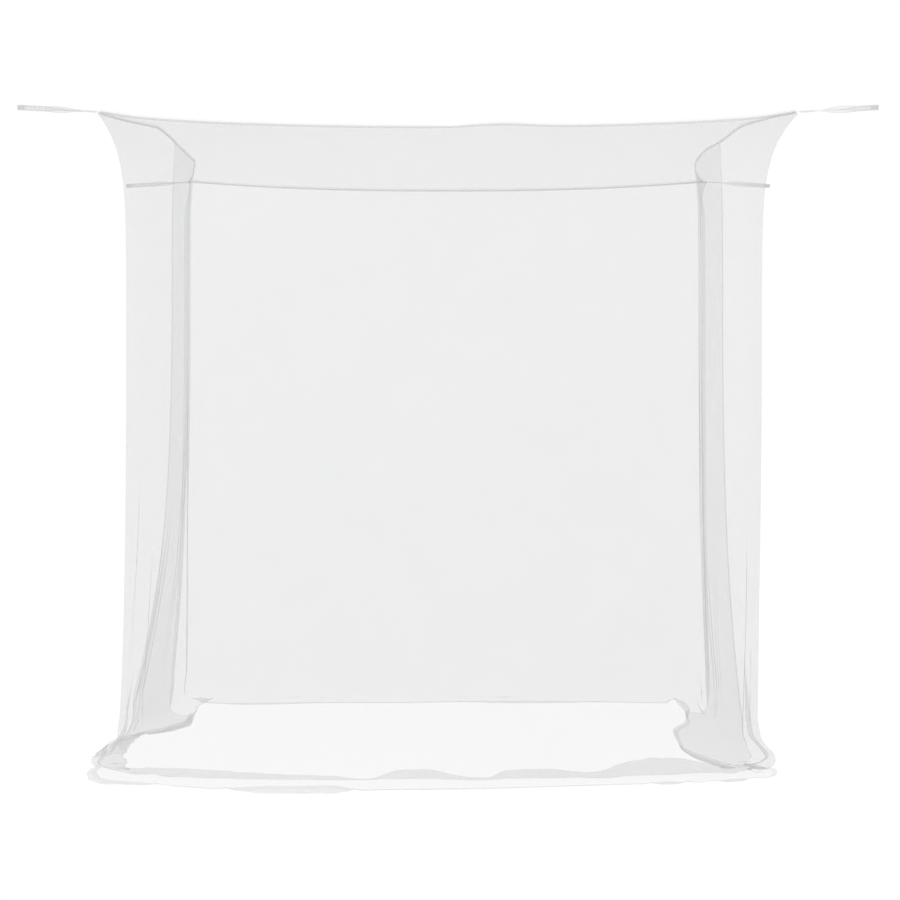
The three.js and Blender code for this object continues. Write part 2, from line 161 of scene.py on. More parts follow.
# Warp-knitted polyester mosquito netting, heat-set: fine white yarn round open six-sided holes, so it
# is a soft white veil that deepens where layers cross. Its holes are 1.5 mm, drawn here at 2 mm so that
# they show. The hems are three layers of it, stitched down, and so show as whiter, denser edges. The knit
# is a sum of waves, a hole above openAt and all yarn below yarnAt. noHem is a place far from any hem.
netting = dict(
    colour="#f2f3f3", roughness=0.85, hole=0.002, openAt=0.7, yarnAt=-0.8, holeAlpha=0.05,
    yarnAlpha=0.25, knitRelief=0.0003, uneven=0.04, unevenSize=0.25,
    hemWidth=0.016, hemAlpha=0.22, lyingHemAlpha=0.27, noHem=0.05,
    stitchInset=0.0136, stitchPitch=0.0034, stitchLength=0.62, stitchWidth=0.0010, stitchAlpha=0.5,
)


# 0 in the netting's holes and 1 on its yarn, at each place on a cloth
def netDensity(tree, place):
    waves = []
    pitch = 2 * math.pi / (netting["hole"] * math.cos(math.radians(30)))
    for turned in (0, 60, 120):  # three sets of ripples, a sixth of a turn apart, cross in round holes
        way = (math.cos(math.radians(turned)) * pitch, math.sin(math.radians(turned)) * pitch, 0)
        along = addNode(tree, "ShaderNodeVectorMath", {0: place, 1: way}, operation="DOT_PRODUCT")
        wave = addNode(tree, "ShaderNodeMath", {0: along.outputs["Value"]}, operation="COSINE")
        waves.append(wave.outputs[0])
    pair = addNode(tree, "ShaderNodeMath", {0: waves[0], 1: waves[1]}, operation="ADD")
    total = addNode(tree, "ShaderNodeMath", {0: pair.outputs[0], 1: waves[2]}, operation="ADD")
    return addNode(tree, "ShaderNodeMapRange", {
        "Value": total.outputs[0], "From Min": netting["openAt"], "From Max": netting["yarnAt"]},
        interpolation_type="SMOOTHSTEP").outputs["Result"]


# 1 within a distance of a line, 0 beyond it, with a soft edge between
def band(tree, value, middle, half, soft):
    away = addNode(tree, "ShaderNodeMath", {0: value, 1: middle}, operation="SUBTRACT")
    far = addNode(tree, "ShaderNodeMath", {0: away.outputs[0]}, operation="ABSOLUTE")
    return addNode(tree, "ShaderNodeMapRange", {
        "Value": far.outputs[0], "From Min": half + soft, "From Max": max(half - soft, 0)},
        interpolation_type="SMOOTHSTEP").outputs["Result"]


# A row of short stitches along a line. Each fills the length's share of the pitch.
def stitches(tree, across, along, inset, pitch, length, width):
    row = band(tree, across, inset, width / 2, soft=0.0002)
    step = addNode(tree, "ShaderNodeMath", {0: along, 1: pitch}, operation="DIVIDE")
    part = addNode(tree, "ShaderNodeMath", {0: step.outputs[0]}, operation="FRACT")
    dash = band(tree, part.outputs[0], 0.5, length / 2, soft=0.08)
    return addNode(tree, "ShaderNodeMath", {0: row, 1: dash}, operation="MULTIPLY").outputs[0]


def nettingMaterial():
    material, tree, output = newMaterial("knitted polyester netting")
    place = addNode(tree, "ShaderNodeUVMap", uv_map="cloth").outputs["UV"]
    knit = netDensity(tree, place)
    yarn = addNode(tree, "ShaderNodeMapRange", {
        "Value": knit, "To Min": netting["holeAlpha"], "To Max": netting["yarnAlpha"]})
    cloud = addNode(tree, "ShaderNodeTexNoise", {
        "Vector": place, "Scale": 1 / netting["unevenSize"], "Detail": 3.0, "Roughness": 0.55})
    patchy = addNode(tree, "ShaderNodeMapRange", {
        "Value": cloud.outputs["Fac"], "From Min": 0.3, "From Max": 0.7,
        "To Min": 1 - netting["uneven"], "To Max": 1 + netting["uneven"]})
    veil = addNode(tree, "ShaderNodeMath", {0: yarn.outputs[0], 1: patchy.outputs[0]}, operation="MULTIPLY")

    edge = addNode(tree, "ShaderNodeAttribute", attribute_name="edge")
    apart = addNode(tree, "ShaderNodeSeparateXYZ", {"Vector": edge.outputs["Vector"]})
    inward, along, lying = apart.outputs["X"], apart.outputs["Y"], apart.outputs["Z"]
    hemAlpha = addNode(tree, "ShaderNodeMapRange", {
        "Value": lying, "To Min": netting["hemAlpha"], "To Max": netting["lyingHemAlpha"]})
    hem = band(tree, inward, 0, netting["hemWidth"], soft=0.0005)
    sewn = stitches(tree, inward, along, netting["stitchInset"], netting["stitchPitch"],
                    netting["stitchLength"], netting["stitchWidth"])
    doubled = addNode(tree, "ShaderNodeMix", {
        "Factor": hem, "A": veil.outputs[0], "B": hemAlpha.outputs[0]}, data_type="FLOAT")
    alpha = addNode(tree, "ShaderNodeMix", {
        "Factor": sewn, "A": doubled.outputs["Result"], "B": netting["stitchAlpha"]}, data_type="FLOAT")
    relief = addNode(tree, "ShaderNodeBump", {
        "Height": knit, "Strength": 0.5, "Distance": netting["knitRelief"]})
    skin = addNode(tree, "ShaderNodeBsdfPrincipled", {
        "Base Color": linear(netting["colour"]), "Roughness": netting["roughness"],
        "Specular IOR Level": 0.25, "Alpha": alpha.outputs["Result"], "Normal": relief.outputs["Normal"]})
    tree.links.new(skin.outputs["BSDF"], output.inputs["Surface"])
    return material


# The seam binding: a folded strip of the same knitted netting, sheer where it stands up as a fin, and
# dense and white along the line where it is sewn through roof and wall
binding = dict(colour="#f0f1f1", roughness=0.82, finHoleAlpha=0.033, finYarnAlpha=0.077,
               sewnAlpha=0.30, sewnHeight=0.0054, relief=0.0005, threadPitch=0.0042,
               threadInset=0.0022, threadLength=0.66, threadWidth=0.0012)


def bindingMaterial():
    material, tree, output = newMaterial("folded netting binding")
    place = addNode(tree, "ShaderNodeUVMap", uv_map="cloth").outputs["UV"]
    apart = addNode(tree, "ShaderNodeSeparateXYZ", {"Vector": place})
    along, up = apart.outputs["X"], apart.outputs["Y"]
    knit = netDensity(tree, place)
    fin = addNode(tree, "ShaderNodeMapRange", {
        "Value": knit, "To Min": binding["finHoleAlpha"], "To Max": binding["finYarnAlpha"]})
    seamBand = band(tree, up, 0, binding["sewnHeight"], soft=0.0008)
    alpha = addNode(tree, "ShaderNodeMix", {
        "Factor": seamBand, "A": fin.outputs[0], "B": binding["sewnAlpha"]}, data_type="FLOAT")
    sewn = stitches(tree, up, along, binding["threadInset"], binding["threadPitch"],
                    binding["threadLength"], binding["threadWidth"])
    relief = addNode(tree, "ShaderNodeBump", {
        "Height": sewn, "Strength": 0.6, "Distance": binding["relief"]})
    skin = addNode(tree, "ShaderNodeBsdfPrincipled", {
        "Base Color": linear(binding["colour"]), "Roughness": binding["roughness"],
        "Specular IOR Level": 0.25, "Alpha": alpha.outputs["Result"], "Normal": relief.outputs["Normal"]})
    tree.links.new(skin.outputs["BSDF"], output.inputs["Surface"])
    return material


# Soft woven polyester tape, 14 mm wide: thin and a little see-through in its middle, where the plain
# weave is open, denser and whiter at its selvedges, and densest at the loop's folded end
tape = dict(colour="#f4f5f5", hollowShade="#eceeee", roughness=0.78, rib=0.001, ribStretch=1.4, relief=0.0004,
            middleAlpha=0.13, selvedgeAlpha=0.24, endAlpha=0.25, selvedge=0.0022, halfWidth=0.007, end=0.022)


def tapeMaterial():
    material, tree, output = newMaterial("woven polyester tape")
    place = addNode(tree, "ShaderNodeUVMap", uv_map="cloth").outputs["UV"]
    apart = addNode(tree, "ShaderNodeSeparateXYZ", {"Vector": place})
    waves = []
    for axis, pitch in (("X", tape["rib"]), ("Y", tape["rib"] * tape["ribStretch"])):
        turned = addNode(tree, "ShaderNodeMath", {
            0: apart.outputs[axis], 1: 2 * math.pi / pitch}, operation="MULTIPLY")
        waves.append(addNode(tree, "ShaderNodeMath", {0: turned.outputs[0]}, operation="SINE").outputs[0])
    woven = addNode(tree, "ShaderNodeMath", {0: waves[0], 1: waves[1]}, operation="MULTIPLY")
    rib = addNode(tree, "ShaderNodeMapRange", {"Value": woven.outputs[0], "From Min": -1.0})
    # The hollows between the ribs are coloured a slightly darker white: painted shade in the weave's recesses
    colour = addNode(tree, "ShaderNodeMix", {
        "Factor": rib.outputs[0], "A": linear(tape["hollowShade"]), "B": linear(tape["colour"])},
        data_type="RGBA")
    relief = addNode(tree, "ShaderNodeBump", {
        "Height": rib.outputs[0], "Strength": 0.4, "Distance": tape["relief"]})
    aside = addNode(tree, "ShaderNodeMath", {0: apart.outputs["Y"]}, operation="ABSOLUTE").outputs[0]
    selvedge = band(tree, aside, tape["halfWidth"], tape["selvedge"], soft=0.0006)
    across = addNode(tree, "ShaderNodeMix", {
        "Factor": selvedge, "A": tape["middleAlpha"], "B": tape["selvedgeAlpha"]}, data_type="FLOAT")
    edge = addNode(tree, "ShaderNodeAttribute", attribute_name="edge")
    fromEnd = addNode(tree, "ShaderNodeSeparateXYZ", {"Vector": edge.outputs["Vector"]}).outputs["X"]
    folded = band(tree, fromEnd, 0, tape["end"], soft=0.004)
    alpha = addNode(tree, "ShaderNodeMix", {
        "Factor": folded, "A": across.outputs["Result"], "B": tape["endAlpha"]}, data_type="FLOAT")
    skin = addNode(tree, "ShaderNodeBsdfPrincipled", {
        "Base Color": colour.outputs["Result"], "Roughness": tape["roughness"],
        "Specular IOR Level": 0.3, "Alpha": alpha.outputs["Result"], "Normal": relief.outputs["Normal"]})
    tree.links.new(skin.outputs["BSDF"], output.inputs["Surface"])
    return material


finishes = dict(netting=nettingMaterial(), binding=bindingMaterial(), tape=tapeMaterial())
print("finishes made:", ", ".join(finishes))


# The net's form. The roof is 2 m up, and each of its edges bows inwards and sags between its corners. An
# edge with a high power stays straight for long and turns fast near its corners.

roof = dict(halfWidth=1.012, halfDepth=0.920, cornerHeight=1.996, middleSag=0.040, sideHold=5, inset=0.0022,
            cutWidth=1.95, cutDepth=1.75, columns=126, rows=116)
frontEdge = dict(bow=0.220, bowPower=2.3, sag=0.015, sagPower=12, lift=0.008, liftAt=0.58, liftWidth=0.06)
backEdge = dict(bow=0.243, bowPower=2.2, sag=0.062, sagPower=2.3)
sideEdge = dict(sag=0.040, sagPower=4)
leftBow = [
    dict(back=-1, inward=0), dict(back=-0.905, inward=0.060), dict(back=-0.79, inward=0.150),
    dict(back=-0.6, inward=0.161), dict(back=-0.1, inward=0.158), dict(back=0.15, inward=0.126),
    dict(back=0.45, inward=0.080), dict(back=0.8, inward=0.020), dict(back=1, inward=0),
]
rightBow = [
    dict(back=-1, inward=0), dict(back=-0.94, inward=0.066), dict(back=-0.8, inward=0.145),
    dict(back=-0.58, inward=0.164), dict(back=-0.35, inward=0.185), dict(back=-0.1, inward=0.178),
    dict(back=0.15, inward=0.150), dict(back=0.5, inward=0.092), dict(back=0.8, inward=0.032),
    dict(back=1, inward=0),
]

# Where the walls hang, in plan, once they have left the roof edge
hung = [
    dict(turn=0, x=-0.961, y=-0.740), dict(turn=0.03, x=-0.925, y=-0.744),
    dict(turn=0.12, x=-0.790, y=-0.704), dict(turn=0.5, x=0, y=-0.655),
    dict(turn=0.88, x=0.780, y=-0.702), dict(turn=0.97, x=0.905, y=-0.744),
    dict(turn=1, x=0.938, y=-0.736), dict(turn=1.07, x=0.905, y=-0.655),
    dict(turn=1.21, x=0.866, y=-0.500), dict(turn=1.5, x=0.868, y=-0.020),
    dict(turn=1.75, x=0.918, y=0.420), dict(turn=1.93, x=0.950, y=0.620),
    dict(turn=2, x=0.938, y=0.705), dict(turn=2.05, x=0.870, y=0.735),
    dict(turn=2.5, x=0, y=0.700), dict(turn=2.95, x=-0.900, y=0.735),
    dict(turn=3, x=-0.988, y=0.695), dict(turn=3.1, x=-0.973, y=0.580),
    dict(turn=3.27, x=-0.937, y=0.380), dict(turn=3.5, x=-0.898, y=0),
    dict(turn=3.79, x=-0.870, y=-0.500), dict(turn=3.93, x=-0.925, y=-0.655),
]

# Where the walls meet the floor, how far the spare cloth reaches out (in, if less than 0), and how much
# of it lies heaped up in a fold
foot = [
    dict(turn=0, x=-1.003, y=-0.590, reach=0.090, heap=0.7),
    dict(turn=0.03, x=-0.955, y=-0.608, reach=0.090, heap=0.45),
    dict(turn=0.12, x=-0.800, y=-0.620, reach=0.112, heap=0.12),
    dict(turn=0.25, x=-0.500, y=-0.632, reach=0.160, heap=0.05),
    dict(turn=0.44, x=-0.110, y=-0.634, reach=0.134, heap=0.06),
    dict(turn=0.54, x=0.080, y=-0.634, reach=0.126, heap=0.02),
    dict(turn=0.61, x=0.225, y=-0.632, reach=0.112, heap=0.06),
    dict(turn=0.74, x=0.470, y=-0.626, reach=0.086, heap=0.12),
    dict(turn=0.86, x=0.740, y=-0.612, reach=0.070, heap=0.35),
    dict(turn=0.96, x=0.900, y=-0.590, reach=0.060, heap=0.5),
    dict(turn=1, x=0.942, y=-0.572, reach=0.060, heap=0.6),
    dict(turn=1.09, x=0.932, y=-0.535, reach=0.070, heap=0.75),
    dict(turn=1.21, x=0.926, y=-0.490, reach=-0.045, heap=0.5),
    dict(turn=1.32, x=0.925, y=-0.206, reach=-0.160, heap=0.1),
    dict(turn=1.45, x=0.925, y=0.034, reach=-0.155, heap=0.05),
    dict(turn=1.6, x=0.925, y=0.205, reach=-0.105, heap=0.2),
    dict(turn=1.8, x=0.934, y=0.470, reach=-0.062, heap=0.15),
    dict(turn=1.95, x=0.940, y=0.650, reach=-0.075, heap=0.3),
    dict(turn=2, x=0.915, y=0.720, reach=-0.080, heap=0.3),
    dict(turn=2.08, x=0.830, y=0.758, reach=-0.150, heap=0.1),
    dict(turn=2.35, x=0.300, y=0.757, reach=-0.138, heap=0),
    dict(turn=2.6, x=-0.200, y=0.760, reach=-0.142, heap=0),
    dict(turn=2.9, x=-0.800, y=0.752, reach=-0.180, heap=0.05),
    dict(turn=3, x=-0.992, y=0.700, reach=-0.110, heap=0.2),
    dict(turn=3.12, x=-0.990, y=0.560, reach=-0.075, heap=0.25),
    dict(turn=3.24, x=-0.978, y=0.360, reach=-0.060, heap=0.3),
    dict(turn=3.33, x=-1.004, y=0.215, reach=-0.095, heap=0.35),
    dict(turn=3.43, x=-1.036, y=0.120, reach=-0.095, heap=0.3),
    dict(turn=3.52, x=-1.041, y=0.008, reach=0.015, heap=0.3),
    dict(turn=3.65, x=-1.035, y=-0.130, reach=0.100, heap=0.35),
    dict(turn=3.79, x=-1.020, y=-0.320, reach=0.110, heap=0.45),
    dict(turn=3.93, x=-1.004, y=-0.510, reach=0.100, heap=0.6),
]

# The folds that run up a wall: where each begins and ends, its half width in turns, how far it stands
# out, and the height at which it starts
folds = [
    dict(turn=0.97, footTurn=0.975, width=0.025, out=-0.010, start=0.90),
    dict(turn=1.035, footTurn=1.03, width=0.030, out=0.017, start=1.00),
    dict(turn=1.10, footTurn=1.09, width=0.030, out=-0.016, start=0.80),
    dict(turn=1.16, footTurn=1.15, width=0.030, out=0.014, start=0.60),
    dict(turn=1.35, footTurn=1.33, width=0.070, out=-0.012, start=0.60),
    dict(turn=1.60, footTurn=1.62, width=0.080, out=0.012, start=0.70),
    dict(turn=2.02, footTurn=2.02, width=0.025, out=0.016, start=0.76),
    dict(turn=2.97, footTurn=2.97, width=0.025, out=0.012, start=0.60),
    dict(turn=3.09, footTurn=3.11, width=0.050, out=-0.014, start=0.90),
    dict(turn=3.40, footTurn=3.42, width=0.070, out=0.012, start=0.52),
    dict(turn=3.60, footTurn=3.62, width=0.070, out=-0.012, start=0.56),
    dict(turn=3.84, footTurn=3.85, width=0.030, out=0.008, start=0.70),
    dict(turn=3.90, footTurn=3.91, width=0.030, out=-0.008, start=0.82),
    dict(turn=3.96, footTurn=3.97, width=0.030, out=0.009, start=1.06),
]

# The cloth from the turn at its foot to its free edge: height, share of the reach, and what a whole
# heap adds outwards and upwards
floorRows = [
    dict(row=0, height=0.180, along=0, heapOut=0, heapUp=0),
    dict(row=1, height=0.118, along=0, heapOut=0.012, heapUp=0.004),
    dict(row=2, height=0.058, along=0.02, heapOut=0.056, heapUp=0.026),
    dict(row=3, height=0.020, along=0.08, heapOut=0.082, heapUp=0.038),
    dict(row=4, height=0.005, along=0.22, heapOut=0.038, heapUp=0.036),
    dict(row=5, height=0.0015, along=0.42, heapOut=-0.014, heapUp=0.030),
    dict(row=6, height=0.003, along=0.62, heapOut=-0.026, heapUp=0.018),
    dict(row=7, height=0.001, along=0.82, heapOut=-0.004, heapUp=0.007),
    dict(row=8, height=0, along=1, heapOut=0.008, heapUp=0),
]

# Narrow creases that show as lines: where each begins and ends, half width, how far the cloth doubles
# over itself along the wall, how thick that fold lies, how far it stands out, and the height it starts at
creases = [
    dict(turn=0.040, footTurn=0.014, width=0.010, tuck=1.35, thick=0.002, ridge=0.002, start=1.25),
    dict(turn=0.066, footTurn=0.040, width=0.008, tuck=1.3, thick=0.001, ridge=0.002, start=1.00),
    dict(turn=0.090, footTurn=0.065, width=0.007, tuck=0.8, thick=0.001, ridge=0.002, start=0.55),
    dict(turn=0.962, footTurn=0.966, width=0.007, tuck=1.4, thick=0.002, ridge=0.003, start=0.95),
    dict(turn=0.976, footTurn=0.984, width=0.007, tuck=1.2, thick=0.001, ridge=0.002, start=0.60),
    dict(turn=1.075, footTurn=1.080, width=0.012, tuck=0, thick=0, ridge=0.007, start=0.90),
    dict(turn=1.420, footTurn=1.430, width=0.012, tuck=0, thick=0, ridge=0.004, start=1.00),
    dict(turn=1.560, footTurn=1.545, width=0.010, tuck=0, thick=0, ridge=0.004, start=0.80),
    dict(turn=1.700, footTurn=1.720, width=0.009, tuck=0, thick=0, ridge=0.007, start=1.60),
    dict(turn=2.012, footTurn=2.012, width=0.012, tuck=0, thick=0, ridge=0.008, start=0.42),
    dict(turn=3.000, footTurn=3.004, width=0.008, tuck=1.5, thick=0.002, ridge=0.003, start=1.70),
    dict(turn=3.350, footTurn=3.330, width=0.010, tuck=0, thick=0, ridge=0.006, start=1.40),
    dict(turn=3.620, footTurn=3.600, width=0.010, tuck=0, thick=0, ridge=0.005, start=0.95),
    dict(turn=3.700, footTurn=3.690, width=0.010, tuck=0, thick=0, ridge=0.006, start=0.85),
]

# Folds that lie on the floor: how far the cloth doubles back under the wall's foot, and how far its
# free edge is turned back over it
floorFolds = [
    dict(turn=0, under=0.060, over=0.03), dict(turn=0.05, under=0.120, over=0.02),
    dict(turn=0.12, under=0.150, over=0), dict(turn=0.16, under=0.145, over=0),
    dict(turn=0.235, under=0.125, over=0.045), dict(turn=0.32, under=0.100, over=0.050),
    dict(turn=0.37, under=0.060, over=0), dict(turn=0.418, under=0.165, over=0),
    dict(turn=0.457, under=0.175, over=0), dict(turn=0.53, under=0.085, over=0),
    dict(turn=0.56, under=0.075, over=0), dict(turn=0.587, under=0.155, over=0),
    dict(turn=0.645, under=0.165, over=0), dict(turn=0.70, under=0.125, over=0),
    dict(turn=0.73, under=0.105, over=0), dict(turn=0.79, under=0.225, over=0),
    dict(turn=0.82, under=0.245, over=0.02), dict(turn=0.87, under=0.215, over=0),
    dict(turn=0.93, under=0.110, over=0.02), dict(turn=1, under=0.040, over=0),
    dict(turn=1.2, under=0.010, over=0.02), dict(turn=1.5, under=-0.020, over=0),
    dict(turn=1.9, under=-0.020, over=0.02), dict(turn=2.08, under=-0.010, over=0),
    dict(turn=2.35, under=-0.045, over=0.02), dict(turn=2.6, under=-0.030, over=0),
    dict(turn=2.85, under=-0.045, over=0.02), dict(turn=3.1, under=-0.010, over=0),
    dict(turn=3.4, under=-0.010, over=0.025), dict(turn=3.6, under=0.010, over=0),
    dict(turn=3.8, under=0.020, over=0.03), dict(turn=3.93, under=0.035, over=0.02),
]

# The walls' own numbers. The front length goes past each front corner by frontHem of a turn, and the
# back length stops backHem of a turn from it. A curl turns each free hem a little out of its wall.
# Heights, widths and depths are in metres, and tuckRow and turnedRow are rows of floorRows.
wall = dict(
    relax=0.085, leanFrom=1.600, leanCurve=3, footTop=0.180, seamDrop=0.0032, thickness=0.0015,
    frontHem=0.76, backHem=0.21, frontEase=0.05, backEase=0.15, seamGap=0.0032, hungGap=0.008,
    pitch=0.0115, creasePitch=0.0035, creaseReach=0.045, creaseGrowth=0.45, creaseRest=1.3,
    topPart=0.12, topRows=11, hangingRows=68, floorRows=58, frontPerTurn=1.87, sidePerTurn=1.38,
    measureSteps=6001,
    inwardHeap=0.8, tuckRow=5, tuckRows=0.75, foldRise=0.03, turnedRow=7, turnedRows=0.5,
    turnedRise=0.08, turnedReach=0.02, frontCurl=0.016, backCurl=0.007, curlWidth=0.024, curlBelow=0.15,
    curlEnds=0.1, hemLift=0.007, hemWidth=0.017, lyingBelow=0.14, lyingFade=0.10,
)

# Small uneven ripples in the loose cloth, highest where it lies heaped: how long the waves are, how high
# they stand, and where they begin
ripples = dict(seed=7, count=14, sum=3, longest=0.16, shortest=0.035, height=0.006, calm=0.14,
               below=0.22, fade=0.20, flatHem=0.05)


# The points of the roof's edge at each turn
def roofEdge(turns):
    turn = np.mod(turns, 4)
    side = np.minimum(turn.astype(int), 3)
    across = 2 * (turn - side) - 1
    inside = np.abs(across)
    wide, deep, high = roof["halfWidth"], roof["halfDepth"], roof["cornerHeight"]
    lift = frontEdge["lift"] * np.exp(-((turn - frontEdge["liftAt"]) / frontEdge["liftWidth"]) ** 2)
    front = np.stack([
        across * wide, -deep + frontEdge["bow"] * (1 - inside ** frontEdge["bowPower"]),
        high - frontEdge["sag"] * (1 - inside ** frontEdge["sagPower"]) + lift], -1)
    back = np.stack([
        -across * wide, deep - backEdge["bow"] * (1 - inside ** backEdge["bowPower"]),
        high - backEdge["sag"] * (1 - inside ** backEdge["sagPower"])], -1)
    sideHeight = high - sideEdge["sag"] * (1 - inside ** sideEdge["sagPower"])
    right = np.stack([
        wide - through(rightBow, "back", "inward", across), across * deep, sideHeight], -1)
    left = np.stack([
        through(leftBow, "back", "inward", -across) - wide, -across * deep, sideHeight], -1)
    return np.choose(side[..., None], [front, right, back, left])


# Where a table puts the cloth in plan at each turn
def plan(rows, turns):
    at = np.mod(turns, 4)
    return np.stack([through(rows, "turn", "x", at, 4), through(rows, "turn", "y", at, 4)], -1)


# The direction straight out of the net, in plan
def outward(rows, turns):
    aside = 0.012
    along = unit(plan(rows, turns + aside) - plan(rows, turns - aside))
    return np.stack([along[..., 1], -along[..., 0]], -1)


# How far the broad folds stand out of the wall
def foldDepth(turns, height):
    depth = np.zeros_like(height)
    for fold in folds:
        grown = smooth((fold["start"] - height) / fold["start"])
        place = mix(fold["turn"], fold["footTurn"], grown)
        away = np.mod(turns[:, None] - place + 2, 4) - 2
        depth += fold["out"] * grown * np.exp(-(away / fold["width"]) ** 2)
    return depth


# How far the narrow creases move the cloth along the wall and out of it
def creaseShift(turns, height):
    along, out = np.zeros_like(height), np.zeros_like(height)
    onLongSide = np.floor(np.mod(turns, 4)) % 2 == 0
    perTurn = np.where(onLongSide, wall["frontPerTurn"], wall["sidePerTurn"])[:, None]
    for crease in creases:
        fallen = (crease["start"] - height) / crease["start"]
        grown = smooth(fallen / wall["creaseGrowth"])
        place = mix(crease["turn"], crease["footTurn"], smooth(fallen))
        away = (np.mod(turns[:, None] - place + 2, 4) - 2) * perTurn / crease["width"]
        bell = np.exp(-away ** 2) * grown
        slope = 2.3 * away * bell  # about 1 and -1 at most, to each side of the crease
        along -= crease["tuck"] * crease["width"] * away * bell
        out += crease["ridge"] * bell - crease["thick"] * slope
    return along, out


# Small uneven ripples, -1 to 1, from a few waves that cross at odd angles
def rippleHeight(across, down):
    draw = np.random.default_rng(ripples["seed"])
    total = np.zeros_like(down)
    for wave in range(ripples["count"]):
        part = (wave / ripples["count"]) ** 0.7  # more of the waves are short
        size = mix(ripples["longest"], ripples["shortest"], part)
        angle, phase = draw.uniform(0, math.pi), draw.uniform(0, 2 * math.pi)
        way = across * math.cos(angle) + down * math.sin(angle)
        total += size / ripples["longest"] * np.sin(2 * math.pi * way / size + phase)
    return total / ripples["sum"]


# The points of one length of wall, a column for each turn: first the hanging rows, then the floor rows
def wallPoints(turns, overlap):
    edge = roofEdge(turns)
    top = edge[:, 2] - wall["seamDrop"]
    hungPlan, footPlan = plan(hung, turns), plan(foot, turns)
    hungOut, footOut = outward(hung, turns), outward(foot, turns)
    reach = through(foot, "turn", "reach", np.mod(turns, 4), 4)
    heap = through(foot, "turn", "heap", np.mod(turns, 4), 4)

    near = np.linspace(0, wall["topPart"], wall["topRows"])[:-1]
    rest = np.linspace(wall["topPart"], 1, wall["hangingRows"])
    share = np.concatenate([near, rest])
    height = mix(top[:, None], wall["footTop"], share[None, :])
    drop = top[:, None] - height
    pulled = np.exp(-drop / wall["relax"])[..., None]
    fallen = np.clip((wall["leanFrom"] - height) / (wall["leanFrom"] - wall["footTop"]), 0, None)
    leaning = (fallen ** wall["leanCurve"])[..., None]
    out = mix(hungOut[:, None, :], footOut[:, None, :], leaning)
    creaseAlong, creaseOut = creaseShift(turns, height)
    wayAlong = np.stack([-out[..., 1], out[..., 0]], -1)
    creased = out * creaseOut[..., None] + wayAlong * creaseAlong[..., None]
    plain = (hungPlan[:, None] + (edge[:, None, :2] - hungPlan[:, None]) * pulled
             + (footPlan - hungPlan)[:, None] * leaning + out * foldDepth(turns, height)[..., None])
    hanging = np.concatenate([plain + creased, height[..., None]], -1)

    row = np.linspace(0, 8, wall["floorRows"])[1:]
    named = {name: through(floorRows, "row", name, row)[None, :] for name in
             ("height", "along", "heapOut", "heapUp")}
    spread = np.where(reach < 0, wall["inwardHeap"], 1)[:, None] * heap[:, None]
    under = through(floorFolds, "turn", "under", np.mod(turns, 4), 4)[:, None]
    over = through(floorFolds, "turn", "over", np.mod(turns, 4), 4)[:, None]
    outwards = np.tanh(reach / wall["turnedReach"])[:, None]
    tucked = np.exp(-((row - wall["tuckRow"]) / wall["tuckRows"]) ** 2)[None, :]
    turnedRow = row - wall["turnedRow"]
    turned = (np.exp(-(turnedRow / wall["turnedRows"]) ** 2) - smooth(turnedRow))[None, :]
    distance = named["along"] * reach[:, None] + named["heapOut"] * spread
    distance += outwards * over * turned - under * tucked
    fading = np.exp(-(row / wall["creaseRest"]) ** 2)[None, :, None]
    low = plain[:, -1:] + creased[:, -1:] * fading + footOut[:, None, :] * distance[..., None]
    lift = wall["thickness"] / 2 + overlap[:, None] * wall["hungGap"] / 2
    lowHeight = named["height"] + named["heapUp"] * heap[:, None] + lift * smooth(row / 2)[None, :]
    lowHeight = lowHeight + np.abs(under) * wall["foldRise"] * tucked
    lowHeight = lowHeight + over * wall["turnedRise"] * smooth(turnedRow + wall["turnedRows"])[None, :]
    lying = np.concatenate([low, lowHeight[..., None]], -1)
    return np.concatenate([hanging, lying], 1)


# The directions straight out of a grid of points, columns first
def gridNormals(grid):
    along, down = np.gradient(grid, axis=0), np.gradient(grid, axis=1)
    return unit(np.cross(down, along))


def gridFaces(columns, rows):
    i, j = np.meshgrid(np.arange(columns - 1), np.arange(rows - 1), indexing="ij")
    at = (i * rows + j).ravel()
    return np.stack([at, at + 1, at + rows + 1, at + rows], 1)


# How far each point is along its line of the grid
def stepLengths(grid, axis):
    steps = np.linalg.norm(np.diff(grid, axis=axis), axis=-1)
    start = np.zeros_like(np.take(steps, [0], axis))
    return np.concatenate([start, np.cumsum(steps, axis)], axis)


# The turns of a length's columns, close together at its creases and free ends
def wallTurns(first, last):
    fine = np.linspace(first, last, wall["measureSteps"])
    length = stepLengths(plan(hung, fine), 0)
    places = [first, last]
    for crease in creases:
        for lap in (0, 4):
            middle = (crease["turn"] + crease["footTurn"]) / 2 + lap
            if first < middle < last:
                places += [crease["turn"] + lap, middle, crease["footTurn"] + lap]
    near = np.zeros_like(length)
    for place in places:
        away = (length - np.interp(place, fine, length)) / wall["creaseReach"]
        near = np.maximum(near, np.exp(-away ** 4))
    density = mix(1 / wall["pitch"], 1 / wall["creasePitch"], near)
    total = np.concatenate([[0], np.cumsum((density[1:] + density[:-1]) / 2 * np.diff(length))])
    return np.interp(np.linspace(0, total[-1], int(total[-1])), total, fine)


